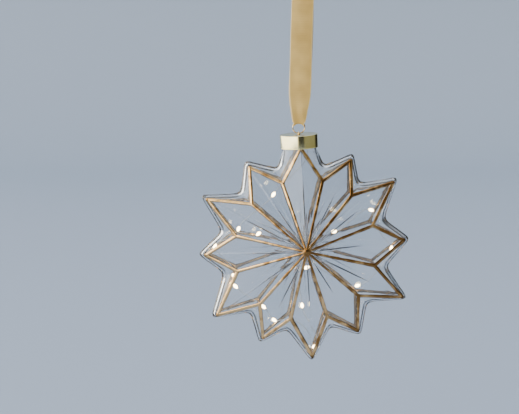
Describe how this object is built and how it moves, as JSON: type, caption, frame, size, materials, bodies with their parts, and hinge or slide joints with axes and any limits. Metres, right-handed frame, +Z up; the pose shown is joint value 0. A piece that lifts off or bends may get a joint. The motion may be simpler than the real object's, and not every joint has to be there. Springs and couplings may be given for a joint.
{
  "type": "hanging glass star ornament with lights",
  "caption": "Clear blown-glass star with gold-lined facets, a plug-in battery cap, a ribbon hanger and warm micro lights on a fine wire inside.",
  "frame": {"origin": "inside the top of the ribbon loop, where a hook or branch carries it", "axes": "+Z up, -Y out of the front of the star, +X to the right seen from the front"},
  "size_m": [0.1708, 0.0486, 0.3141],
  "materials": {
    "satin_ribbon": "satin weave, champagne tan",
    "gold_wire": "polished gold-coloured wire",
    "champagne_metal": "mirror-bright champagne gold skin",
    "board_green": "green solder mask",
    "black_plastic": "moulded black plastic",
    "bright_steel": "plated steel",
    "ceramic": "ceramic body",
    "contact_brass": "springy brass strip",
    "cell_steel": "brushed cell can",
    "white_plastic": "moulded white plastic",
    "clear_rubber": "soft translucent sleeve",
    "silver_wire": "thin lacquered silver wire",
    "clear_glass": "clear blown glass",
    "gold_paint": "raised metallic gold paint",
    "warm_light_drop": "clear resin drop over a warm white light"
  },
  "bodies": {
    "ribbon": {"ribbon": "satin_ribbon"},
    "ring": {"hanger_ring": "gold_wire"},
    "cap": {"cap_shell": "champagne_metal", "hanger_eye": "gold_wire", "circuit_board": "board_green", "timer_chip": "black_plastic", "timing_crystal": "bright_steel", "series_resistor": "ceramic", "switch_body": "bright_steel", "contact_plus": "contact_brass", "contact_minus": "contact_brass", "cell_upper": "cell_steel", "cell_lower": "cell_steel", "battery_holder": "white_plastic", "neck_sleeve": "clear_rubber", "wire_bush": "clear_rubber", "wire_lead": "silver_wire"},
    "knob": {"switch_knob": "black_plastic"},
    "lid": {"battery_lid": "white_plastic"},
    "star": {"glass_star": "clear_glass", "front_gold_lines": "gold_paint", "back_gold_lines": "gold_paint", "light_string": "silver_wire", "light_01": "warm_light_drop", "light_02": "warm_light_drop", "light_03": "warm_light_drop", "light_04": "warm_light_drop", "light_05": "warm_light_drop", "light_06": "warm_light_drop", "light_07": "warm_light_drop", "light_08": "warm_light_drop", "light_09": "warm_light_drop", "light_10": "warm_light_drop", "light_11": "warm_light_drop", "light_12": "warm_light_drop", "light_13": "warm_light_drop", "light_14": "warm_light_drop", "light_15": "warm_light_drop"}
  },
  "joints": [
    {"name": "ring_swing", "type": "hinge", "parent": "ribbon", "child": "ring", "pos_m": [-0.0032, 0, -0.11325], "axis": [1, 0, 0], "range_deg": [-25, 25]},
    {"name": "ornament_swing", "type": "hinge", "parent": "ring", "child": "cap", "pos_m": [-0.0032, 0, -0.12325], "axis": [0, 1, 0], "range_deg": [-15, 21]},
    {"name": "cap_pull", "type": "slide", "parent": "cap", "child": "star", "axis": [0.0523, 0, -0.9986], "range_m": [0, 0.012]},
    {"name": "switch_slide", "type": "slide", "parent": "cap", "child": "knob", "axis": [0.9986, 0, 0.0523], "range_m": [-0.002, 0.002]},
    {"name": "lid_turn", "type": "hinge", "parent": "cap", "child": "lid", "pos_m": [0.00184, 0, -0.21937], "axis": [-0.0523, 0, 0.9986], "range_deg": [0, 30]}
  ]
}
